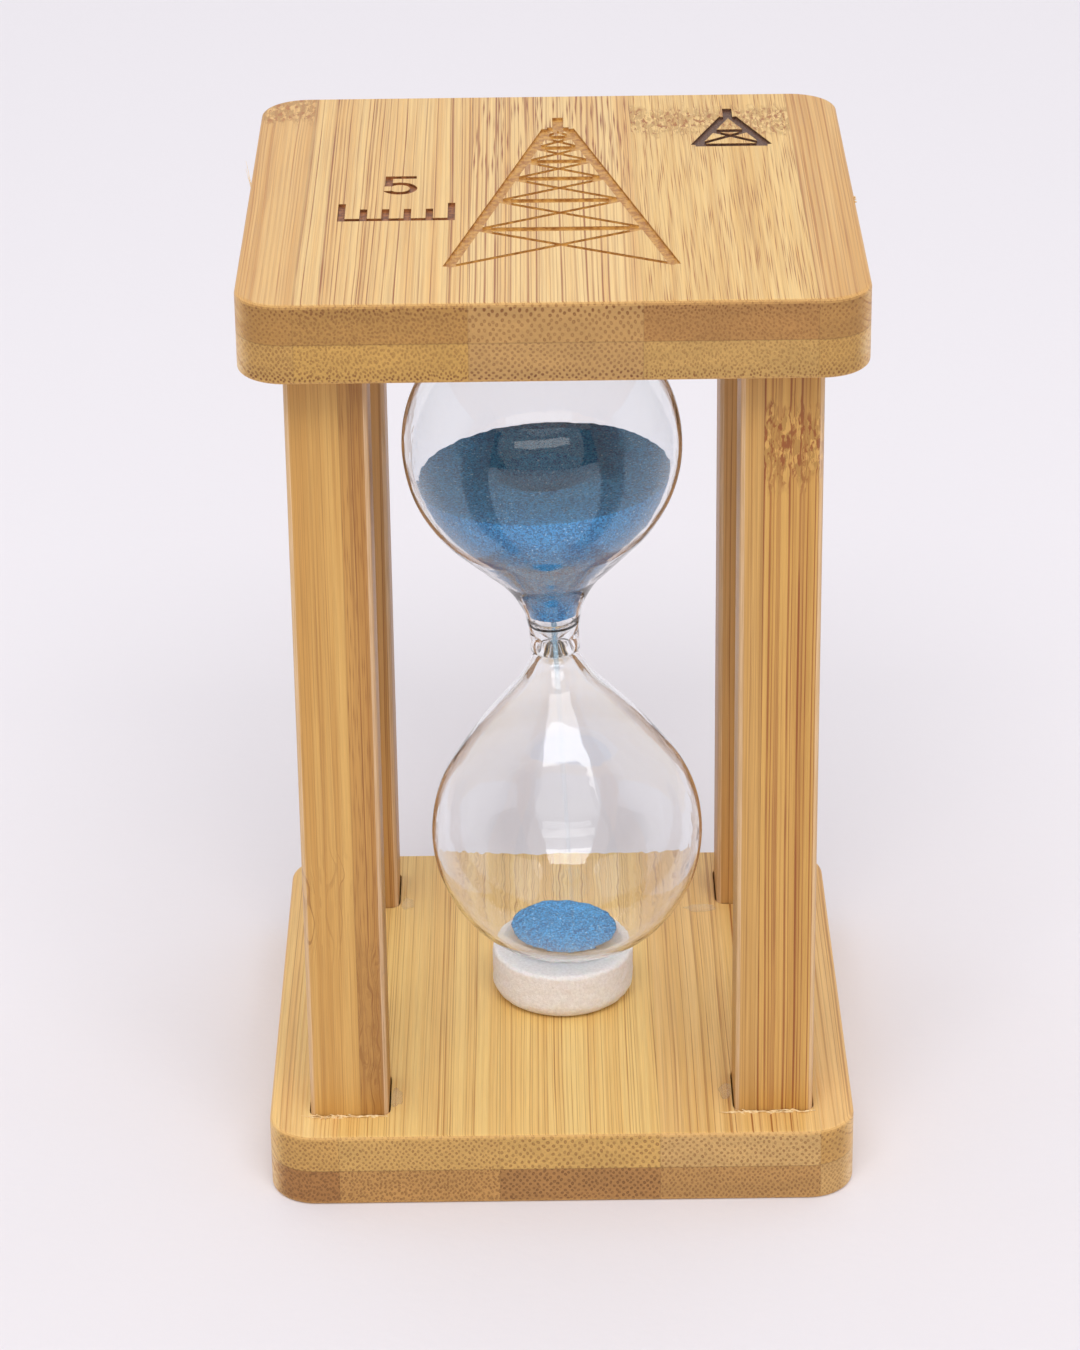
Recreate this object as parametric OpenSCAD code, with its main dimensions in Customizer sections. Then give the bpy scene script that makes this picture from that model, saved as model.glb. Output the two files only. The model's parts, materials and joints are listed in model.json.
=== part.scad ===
// Sand hourglass: one sealed glass with two bulbs, held between two soft seats,
// inside a frame of two laminated bamboo end boards and four laminated bamboo posts.
// Millimetres, +Z up, front towards -Y, origin at the centre of the underside.

/* [End boards] */
// Side of the square end boards
board_side = 75; // [74:1:78]
// Thickness of an end board, which is an outer and an inner ply
board_t = 10; // [10:0.5:11]
// Height over both end boards
overall_h = 123.5; // [123:0.5:128]
// Radius of the boards' upright corners
corner_r = 6; // [4:0.5:7]
// Rounding of the boards' long edges
edge_r = 0.5; // [0.2:0.1:1]
// Width of one full bamboo strip
strip_w = 20.5; // [20:0.1:21]
// Width of the first, narrow strip of the top board
top_first_w = 7; // [6.5:0.1:9]
// Width of the first, narrow strip of the bottom board
bottom_first_w = 9; // [6.5:0.1:9]

/* [Posts] */
// Side of the square posts
post_w = 10; // [9:0.5:10.5]
// Distance from a post's outer face to the board's edge
post_inset = 5.3; // [4.5:0.1:6]
// Rounding of the posts' upright edges
post_r = 0.8; // [0.4:0.1:1.2]
// Clearance between a post and its mortise
mortise_gap = 0.2; // [0.1:0.05:0.4]
// Rounding of the mortises' corners
mortise_r = 1.5; // [1:0.1:2]

/* [Glass] */
// Outer radius of each bulb
bulb_r = 17.9; // [17.5:0.1:18.3]
// Distance from the middle of the neck to each bulb's centre
bulb_reach = 27.9; // [27.5:0.1:28.3]
// Thickness of the glass
wall = 1.4; // [1:0.1:1.6]
// Half angle of the upper bulb's cone
upper_cone = 45.5; // [43:0.5:47]
// Half angle of the lower bulb's cone
lower_cone = 41; // [40.5:0.5:44]
// Radius of the thick collar round the neck
collar_r = 3.2; // [2.9:0.1:3.4]
// Radius of the hole that meters the sand
orifice_r = 0.55; // [0.4:0.05:0.7]
// Lean of the glass to the left between its seats
glass_lean = 2.8; // [0:0.1:3]
// Neck's distance to the right of the boards' centre
neck_x = -0.1; // [-0.5:0.1:0.5]

/* [Seats] */
// Radius of the soft round seats
seat_r = 9.5; // [9:0.1:10]
// Thickness of the lower seat under the glass
seat_t = 6; // [5.5:0.1:6.8]
// Height of a seat's rim above the bottom of its dish
seat_rim = 0.7; // [0.4:0.1:0.9]
// Gap between the glass and a seat's dish
seat_gap = 0.2; // [0.15:0.05:0.3]
// Offset of each seat from the boards' centre, towards its bulb
seat_shift = 0.5; // [0:0.1:1]

/* [Sand] */
// Height of the upper sand's surface above the neck
sand_level = 23.8; // [18:0.1:25]
// Radius of the crater in the upper sand
crater_r = 6.2; // [4:0.1:7]
// Depth of that crater
crater_depth = 3.4; // [2:0.1:4]
// Depth of the lower sand at its rim
pile_depth = 1.5; // [1:0.1:3]
// Height of the mound on the lower sand
mound_h = 0.6; // [0.3:0.1:2]
// Radius of the falling thread of sand
stream_r = 0.25; // [0.2:0.05:0.3]

/* [Engraving] */
// Depth of the burnt marks in the top face
engrave_depth = 0.3; // [0.2:0.05:0.5]
// Width of the lines of the lattice mast
lattice_w = 0.7; // [0.5:0.1:0.9]

/* [Hidden] */
STRIPS = 5;
POSTS = ["front_left", "front_right", "back_left", "back_right"];

ply_t = board_t / 2;
slack = 1;
post_mid = board_side / 2 - post_inset - post_w / 2;
// Width of the left strip in each laminated post, in the order of POSTS
left_strip_w = [0.65 * post_w, 0.28 * post_w, 0.5 * post_w, 0.45 * post_w];

inner_r = bulb_r - wall;
neck_z = board_t + seat_t + seat_gap + bulb_r + bulb_reach * cos(glass_lean);
lower_bulb = [neck_x + bulb_reach * sin(glass_lean), 0, neck_z - bulb_reach * cos(glass_lean)];
upper_bulb = [neck_x - bulb_reach * sin(glass_lean), 0, neck_z + bulb_reach * cos(glass_lean)];

// Points of an arc about c, from one angle to another
function arc(c, r, from, to, step = 3) =
    let (n = max(1, ceil(abs(to - from) / step)))
    [for (i = [0:n]) let (a = from + (to - from) * i / n) c + r * [cos(a), sin(a)]];

function reversed(points) = [for (i = [len(points) - 1:-1:0]) points[i]];
function flip_x(points) = reversed([for (p = points) [-p[0], p[1]]]);
function flip_y(points) = [for (p = points) [p[0], -p[1]]];

// ---------- end boards ----------

// Right half of a ply's section, from its lower middle to its upper middle
function edge_section(reach, low_r, high_r) = concat(
    [[0, 0]],
    low_r > 0 ? arc([reach - low_r, low_r], low_r, -90, 0, 30) : [[reach, 0]],
    high_r > 0 ? arc([reach - high_r, ply_t - high_r], high_r, 0, 90, 30) : [[reach, ply_t]],
    [[0, ply_t]]
);

// One whole ply with rounded upright corners
module ply(low_r, high_r) {
    straight = board_side - 2 * corner_r;
    half = edge_section(board_side / 2, low_r, high_r);
    section = concat(half, flip_x(half));
    for (x = [-1, 1], y = [-1, 1])
        translate([x * straight / 2, y * straight / 2, 0])
            rotate_extrude($fn = 96)
                polygon(edge_section(corner_r, low_r, high_r));
    for (turn = [0, 90])
        rotate([90, 0, turn])
            translate([0, 0, -straight / 2])
                linear_extrude(straight)
                    polygon(section);
}

// Left edge of strip i, counted from 1
function strip_start(i, first_w) = -board_side / 2 + (i == 1 ? 0 : first_w + (i - 2) * strip_w);
function strip_end(i, first_w) = i == STRIPS ? board_side / 2 : strip_start(i + 1, first_w);

// Strip i of a ply: the ply between two glue lines
module strip(i, first_w, low_r, high_r) {
    from = strip_start(i, first_w);
    intersection() {
        ply(low_r, high_r);
        translate([from, -board_side / 2, 0])
            cube([strip_end(i, first_w) - from, board_side, ply_t]);
    }
}

// Outline of a square with rounded corners
function rounded_square(side, r) = concat(
    arc([side / 2 - r, side / 2 - r], r, 0, 90, 18),
    arc([r - side / 2, side / 2 - r], r, 90, 180, 18),
    arc([r - side / 2, r - side / 2], r, 180, 270, 18),
    arc([side / 2 - r, r - side / 2], r, 270, 360, 18)
);

// The mortises that strip i of an inner ply has a share in
module mortises(i, first_w) {
    reach = post_w / 2 + mortise_gap;
    for (x = [-1, 1], y = [-1, 1])
        if (x * post_mid + reach > strip_start(i, first_w) && x * post_mid - reach < strip_end(i, first_w))
            translate([x * post_mid, y * post_mid, -slack])
                linear_extrude(ply_t + 2 * slack)
                    polygon(rounded_square(2 * reach, mortise_r));
}

module top_outer_strip(i) {
    color("burlywood")
        difference() {
            translate([0, 0, overall_h - ply_t])
                strip(i, top_first_w, 0, edge_r);
            if (i > 1 && i < STRIPS)
                translate([0, 0, overall_h - engrave_depth])
                    marks(i);
        }
}

module top_inner_strip(i) {
    color("tan")
        translate([0, 0, overall_h - board_t])
            difference() {
                strip(i, top_first_w, edge_r, 0);
                mortises(i, top_first_w);
            }
}

module bottom_inner_strip(i) {
    color("burlywood")
        translate([0, 0, ply_t])
            difference() {
                strip(i, bottom_first_w, 0, edge_r);
                mortises(i, bottom_first_w);
            }
}

module bottom_outer_strip(i) {
    color("tan")
        strip(i, bottom_first_w, edge_r, 0);
}

// ---------- marks burnt into the top face ----------

// Lattice mast: foot and shoulder of its right leg, from the mast's centre line
mast_x = 1.1;
mast_foot = [13.5, -25.4];
mast_shoulder = [1.4, 24];
mast_tip = 28.5;
mast_panels = 7;
// Each panel is this much lower than the one below it
mast_taper = 0.8;

function panel_total(n) = (1 - pow(mast_taper, n)) / (1 - mast_taper);
// Point on the right leg at the top of panel n
function mast_joint(n) =
    mast_foot + (mast_shoulder - mast_foot) * panel_total(n) / panel_total(mast_panels);
function mirrored(p) = [-p[0], p[1]];

// Straight line of width w from a to b
module bar(a, b, w) {
    span = b - a;
    translate(a)
        rotate(atan2(span[1], span[0]))
            translate([0, -w / 2])
                square([norm(span), w]);
}

module lattice_mast() {
    leg_w = 2 * lattice_w;
    for (s = [-1, 1])
        bar([s * mast_foot[0], mast_foot[1]], [s * mast_shoulder[0], mast_shoulder[1]], leg_w);
    for (n = [0:mast_panels - 1]) {
        low = mast_joint(n);
        high = mast_joint(n + 1);
        bar(mirrored(low), high, lattice_w);
        bar(low, mirrored(high), lattice_w);
        bar(mirrored(high), high, leg_w);
    }
    bar([0, mast_shoulder[1]], [0, mast_tip], leg_w);
}

// Small plain mast: a triangle of bars with a crossbar, two braces and a top pole
module small_mast() {
    foot = [4.6, 0.6];
    shoulder = [0.5, 11.5];
    half_way = (foot + shoulder) / 2;
    for (s = [-1, 1])
        bar([s * foot[0], foot[1]], [s * shoulder[0], shoulder[1]], 1.3);
    for (low = [foot, half_way])
        bar(mirrored(low), low, 1.1);
    bar(foot, mirrored(half_way), 0.8);
    bar(mirrored(foot), half_way, 0.8);
    bar([0, shoulder[1] - 0.6], [0, 14.8], 1.2);
}

// Numeral five, 6.7 mm high
module numeral_five() {
    bowl = [2.1, 2.2];
    stroke = 0.95;
    difference() {
        translate(bowl)
            circle(2.2, $fn = 48);
        translate(bowl)
            circle(2.2 - stroke, $fn = 48);
        translate([-1, 1.4])
            square([2, 1.7]);
    }
    translate([0.25, 3])
        square([stroke, 3.7]);
    translate([0.25, 6.7 - stroke])
        square([3.9, stroke]);
}

// Row of plain minute ticks on a base line
module minute_ticks() {
    ticks = 6;
    pitch = 2.7;
    tick_w = 0.9;
    square([(ticks - 1) * pitch + tick_w, tick_w]);
    for (k = [0:ticks - 1])
        translate([k * pitch, 0])
            square([tick_w, k == 0 || k == ticks - 1 ? 6.2 : 4.2]);
}

// The marks that lie on strip i of the top board
module marks(i) {
    linear_extrude(engrave_depth + slack)
        intersection() {
            translate([strip_start(i, top_first_w) - slack, -board_side / 2])
                square([strip_w + 2 * slack, board_side]);
            union() {
                translate([mast_x, 0])
                    lattice_mast();
                if (i == 4)
                    translate([23.2, 16.5])
                        small_mast();
                if (i == 2) {
                    translate([-20.9, 0])
                        numeral_five();
                    translate([-26.2, -9.4])
                        minute_ticks();
                }
            }
        }
}

// ---------- posts ----------

// One of the two strips that a post is glued up from
module post_strip(p, is_left) {
    x = (p == 0 || p == 2 ? -1 : 1) * post_mid;
    y = (p < 2 ? -1 : 1) * post_mid;
    split = left_strip_w[p];
    from = is_left ? 0 : split;
    width = is_left ? split : post_w - split;
    color(is_left ? "peru" : "sienna")
        translate([x, y, ply_t])
            intersection() {
                linear_extrude(overall_h - board_t)
                    polygon(rounded_square(post_w, post_r));
                translate([from - post_w / 2, -post_w / 2, 0])
                    cube([width, post_w, overall_h - board_t]);
            }
}

// ---------- glass and sand, about their own axis, with the neck at the origin ----------

// Where a bulb's cone would meet a throat of this radius
function cone_corner(r, cone, throat) =
    bulb_reach - r * sin(cone) - (r * cos(cone) - throat) / tan(cone);

// Right half of a bulb's outline, from its throat to its far pole
function bulb(r, cone, throat, fillet) =
    let (start = cone_corner(r, cone, throat) - fillet * tan(cone / 2))
    concat(
        arc([throat + fillet, start], fillet, 180, 180 - cone, 4),
        arc([0, bulb_reach], r, -cone, 90)
    );

collar_end = -2;
outer_outline = concat(
    flip_y(reversed(bulb(bulb_r, lower_cone, 2.2, 2.4))),
    [[1.9, collar_end - 0.4], [1.9, collar_end], [collar_r - 0.3, collar_end], [collar_r, collar_end + 0.3]],
    bulb(bulb_r, upper_cone, collar_r, 10)
);

// The metering hole sits a little above the neck's middle
orifice_y = 0.9;
lower_cavity = flip_y(reversed(bulb(inner_r, lower_cone, 1.5, 2.6)));
upper_cavity = bulb(inner_r, upper_cone, 2.1, 5);
cavity_outline = concat(
    lower_cavity,
    [[1.2, collar_end], [orifice_r, orifice_y - 0.4], [orifice_r, orifice_y], [2.1, orifice_y + 2.4]],
    upper_cavity
);

// Puts the glass's own axis into the frame
module on_glass_axis() {
    translate([neck_x, 0, neck_z])
        rotate([0, -glass_lean, 0])
            children();
}

module glass_vessel() {
    color("lightcyan", 0.4)
        on_glass_axis()
            difference() {
                rotate_extrude($fn = 96)
                    polygon(outer_outline);
                rotate_extrude($fn = 96)
                    polygon(cavity_outline);
            }
}

// Sand that fills the cavity inside the half outline given
module sand_in(region) {
    on_glass_axis()
        rotate_extrude($fn = 96)
            intersection() {
                polygon(cavity_outline);
                polygon(region);
            }
}

module upper_sand() {
    color("steelblue")
        sand_in([
            [0, orifice_y],
            [bulb_r, orifice_y],
            [bulb_r, sand_level],
            [crater_r, sand_level],
            [0, sand_level - crater_depth]
        ]);
}

pile_level = -bulb_reach - inner_r + pile_depth;
pile_rim_r = sqrt(pow(inner_r, 2) - pow(inner_r - pile_depth, 2));

module lower_sand() {
    color("dodgerblue")
        sand_in([
            [0, -bulb_reach - bulb_r],
            [bulb_r, -bulb_reach - bulb_r],
            [bulb_r, pile_level],
            [pile_rim_r, pile_level],
            [0, pile_level + mound_h]
        ]);
}

module falling_sand() {
    foot = pile_level + mound_h;
    color("skyblue")
        on_glass_axis()
            translate([0, 0, foot])
                cylinder(h = orifice_y - foot, r = stream_r, $fn = 24);
}

// ---------- seats ----------

// Half section of a soft seat, base at the bottom; its lower edge is well rounded
function seat_section(height) =
    let (base_round = 2, rim_round = 0.6)
    concat(
        [[0, 0]],
        arc([seat_r - base_round, base_round], base_round, -90, 0, 15),
        arc([seat_r - rim_round, height - rim_round], rim_round, 0, 90, 18),
        [[0, height]]
    );

module seat(height) {
    rotate_extrude($fn = 96)
        polygon(seat_section(height));
}

module lower_seat() {
    color("whitesmoke")
        difference() {
            translate([seat_shift, 0, board_t])
                seat(seat_t + seat_rim);
            translate(lower_bulb)
                sphere(bulb_r + seat_gap, $fn = 96);
        }
}

module upper_seat() {
    underside = overall_h - board_t;
    thickness = underside - upper_bulb[2] - bulb_r - seat_gap;
    color("whitesmoke")
        difference() {
            translate([-seat_shift, 0, underside])
                rotate([180, 0, 0])
                    seat(thickness + seat_rim);
            translate(upper_bulb)
                sphere(bulb_r + seat_gap, $fn = 96);
        }
}

for (i = [1:STRIPS]) {
    top_outer_strip(i);
    top_inner_strip(i);
    bottom_inner_strip(i);
    bottom_outer_strip(i);
}
for (p = [0:len(POSTS) - 1]) {
    post_strip(p, true);
    post_strip(p, false);
}
glass_vessel();
lower_seat();
upper_seat();
upper_sand();
falling_sand();
lower_sand();
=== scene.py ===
"""Looks of the hourglass: bamboo frame, blown glass, blue sand and soft white seats."""

import json
import math
import random

import bpy
from mathutils import Euler, Matrix, Quaternion, Vector, noise


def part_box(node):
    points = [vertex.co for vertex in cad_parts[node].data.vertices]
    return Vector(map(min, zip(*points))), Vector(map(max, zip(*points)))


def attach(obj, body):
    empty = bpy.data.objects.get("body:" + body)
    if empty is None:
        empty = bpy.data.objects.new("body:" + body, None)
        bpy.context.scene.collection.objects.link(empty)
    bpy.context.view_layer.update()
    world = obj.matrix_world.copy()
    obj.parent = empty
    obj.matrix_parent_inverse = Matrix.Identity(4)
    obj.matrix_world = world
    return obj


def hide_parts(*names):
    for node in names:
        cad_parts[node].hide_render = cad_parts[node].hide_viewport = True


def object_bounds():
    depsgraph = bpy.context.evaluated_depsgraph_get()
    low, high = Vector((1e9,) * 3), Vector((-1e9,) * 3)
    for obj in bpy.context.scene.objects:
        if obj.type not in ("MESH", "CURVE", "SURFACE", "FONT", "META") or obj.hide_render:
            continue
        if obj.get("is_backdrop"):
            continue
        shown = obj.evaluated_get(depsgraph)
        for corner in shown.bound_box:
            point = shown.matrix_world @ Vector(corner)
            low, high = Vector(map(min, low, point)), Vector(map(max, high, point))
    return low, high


MM = 0.001

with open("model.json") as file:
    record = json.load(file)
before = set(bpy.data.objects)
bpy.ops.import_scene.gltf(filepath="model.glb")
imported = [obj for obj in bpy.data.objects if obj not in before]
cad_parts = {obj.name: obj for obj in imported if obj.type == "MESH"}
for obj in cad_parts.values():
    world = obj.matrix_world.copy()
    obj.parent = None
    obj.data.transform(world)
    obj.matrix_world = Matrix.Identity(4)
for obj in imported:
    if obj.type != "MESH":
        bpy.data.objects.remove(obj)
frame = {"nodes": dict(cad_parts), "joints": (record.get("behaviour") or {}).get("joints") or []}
cad_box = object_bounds()
nodes = frame["nodes"]
scene = bpy.context.scene
scene.view_settings.view_transform = "Standard"


# ---------- camera ----------

CAMERA_AT = Vector((-2.2, -508.2, 307.1)) * MM
CAMERA_PITCH = 24.97
CAMERA_YAW = 0.03
CAMERA_ROLL = -0.71
CAMERA_LENS = 115.7
CAMERA_SHIFT_Y = -0.07


def make_camera():
    data = bpy.data.cameras.new("camera")
    data.lens = CAMERA_LENS
    data.shift_y = CAMERA_SHIFT_Y
    camera = bpy.data.objects.new("camera", data)
    camera.location = CAMERA_AT
    aim = Euler((math.radians(90 - CAMERA_PITCH), 0, math.radians(-CAMERA_YAW))).to_quaternion()
    camera.rotation_mode = "QUATERNION"
    camera.rotation_quaternion = aim @ Quaternion((0, 0, 1), math.radians(CAMERA_ROLL))
    scene.collection.objects.link(camera)
    scene.camera = camera


make_camera()


# ---------- node trees ----------


def srgb(red, green, blue):
    """A colour given as 0 to 255 screen values, as the linear colour that shaders use."""
    parts = [c / 255 for c in (red, green, blue)]
    return tuple(c / 12.92 if c <= 0.04045 else ((c + 0.055) / 1.055) ** 2.4 for c in parts) + (1.0,)


class Shader:
    """One material, built node by node. Sockets and plain numbers may be mixed freely."""

    def __init__(self, name, **constants):
        self.material = bpy.data.materials.new(name)
        self.material.use_nodes = True
        self.tree = self.material.node_tree
        self.bsdf = self.tree.nodes["Principled BSDF"]
        self.coordinates = self.node("ShaderNodeTexCoord", {})
        for key, value in constants.items():
            self.bsdf.inputs[key.replace("_", " ")].default_value = value

    def link(self, **sockets):
        """Feeds sockets to the surface, whose inputs are named as the constants are."""
        for key, socket in sockets.items():
            self.tree.links.new(socket, self.bsdf.inputs[key.replace("_", " ")])

    def node(self, kind, inputs, **settings):
        made = self.tree.nodes.new(kind)
        for key, value in settings.items():
            setattr(made, key, value)
        for key, value in inputs.items():
            if isinstance(value, bpy.types.NodeSocket):
                self.tree.links.new(value, made.inputs[key])
            elif value is not None:
                made.inputs[key].default_value = value
        return made

    def math(self, operation, a, b=None):
        return self.node("ShaderNodeMath", {0: a, 1: b}, operation=operation).outputs[0]

    def chain(self, operation, values):
        total = values[0]
        for value in values[1:]:
            total = self.math(operation, total, value)
        return total

    def add(self, *terms):
        return self.chain("ADD", terms)

    def times(self, *factors):
        return self.chain("MULTIPLY", factors)

    def most(self, *values):
        return self.chain("MAXIMUM", values)

    def minus(self, a, b):
        return self.math("SUBTRACT", a, b)

    def magnitude(self, value):
        return self.math("ABSOLUTE", value)

    def line(self, value, start, end, to_start=0.0, to_end=1.0, **settings):
        """Straight line from to_start to to_end as value goes from start to end, level outside."""
        inputs = {"Value": value, "From Min": start, "From Max": end, "To Min": to_start, "To Max": to_end}
        return self.node("ShaderNodeMapRange", inputs, **settings).outputs["Result"]

    def ramp(self, value, start, end, to_start=0.0, to_end=1.0):
        """The same as line, but a smooth step."""
        return self.line(value, start, end, to_start, to_end, interpolation_type="SMOOTHSTEP")

    def vector(self, x, y, z):
        return self.node("ShaderNodeCombineXYZ", {"X": x, "Y": y, "Z": z}).outputs[0]

    def split(self, vector):
        made = self.node("ShaderNodeSeparateXYZ", {"Vector": vector})
        return made.outputs["X"], made.outputs["Y"], made.outputs["Z"]

    def noise(self, vector, scale=1.0, detail=2.0, roughness=0.5, output="Fac"):
        inputs = {"Vector": vector, "Scale": scale, "Detail": detail, "Roughness": roughness}
        return self.node("ShaderNodeTexNoise", inputs).outputs[output]

    def noises(self, *settings):
        """Three independent noises of one place."""
        return self.split(self.noise(*settings, output="Color"))

    def cells(self, place, disorder=1.0, scale=1.0, **settings):
        """Distance to the nearest of many scattered centres, and three random values of that centre."""
        inputs = {**place, "Scale": scale, "Randomness": disorder}
        made = self.node("ShaderNodeTexVoronoi", inputs, **settings)
        return made.outputs["Distance"], self.split(made.outputs["Color"])

    def mix(self, factor, a, b):
        made = self.node("ShaderNodeMix", {0: factor, 6: a, 7: b}, data_type="RGBA")
        return made.outputs[2]

    def shade(self, colour, value):
        """colour times a grey value."""
        made = self.node("ShaderNodeVectorMath", {0: colour, "Scale": value}, operation="SCALE")
        return made.outputs[0]

    def place_mm(self):
        """Position in the frame, in millimetres."""
        inputs = {0: self.coordinates.outputs["Object"], "Scale": 1 / MM}
        made = self.node("ShaderNodeVectorMath", inputs, operation="SCALE")
        return self.split(made.outputs[0])

    def bump(self, height_mm):
        made = self.node("ShaderNodeBump", {"Height": height_mm, "Strength": 1.0, "Distance": MM})
        self.link(Normal=made.outputs["Normal"])


# ---------- bamboo ----------

TOP_Z = cad_box[1].z / MM
BOARD_HALF = cad_box[1].x / MM
BOARD_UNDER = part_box("top_inner_strip_1")[0].z / MM


class Strip:
    """How one bamboo strip differs from its neighbours. Lengths are in millimetres."""

    def __init__(self, **given):
        # Colours of a long face, its pale streaks, its lines, the end face and its dots
        self.face = (226, 182, 118)
        self.pale = (236, 202, 146)
        self.line = (176, 116, 62)
        self.end = (190, 142, 80)
        self.dot = (126, 80, 40)
        # Fibre bundles: distance within a row, distance of rows, diameter, disorder
        self.pitch = 0.97
        self.rows = 0.62
        self.size = 0.36
        self.disorder = 0.4
        # How strongly bundles and fine shading show on a long face
        self.contrast = 0.6
        self.fine = 0.3
        # Lines right along the strip: spacing, width and strength of each kind
        self.lines = [(1.4, 0.3, 0.75), (0.5, 0.13, 0.5)]
        # Pointed dashes: (from, to, strength, width, length), strongest from "to" on
        self.dashes = None
        # How strongly the bundles show on an end face, and how grainy it is
        self.pores = 0.8
        self.grit = 0.12
        # Places (centre, half width) along the grain where a knuckle of the cane crosses the strip
        self.knuckles = []
        # How far a knuckle bends the fibres, over what length, and how strongly it is flecked
        self.swirl = 1.6
        self.bend = 1.0
        self.flecks = 0.7
        # Stretches (from, to, shade) along the grain that end darker or lighter than they begin. Those that
        # darken a post's top under the top board are painted shade
        self.shades = []
        # Height of the cane's outer wall, where the bundles are darkest, or None
        self.skin = None
        self.__dict__.update(given)


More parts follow.
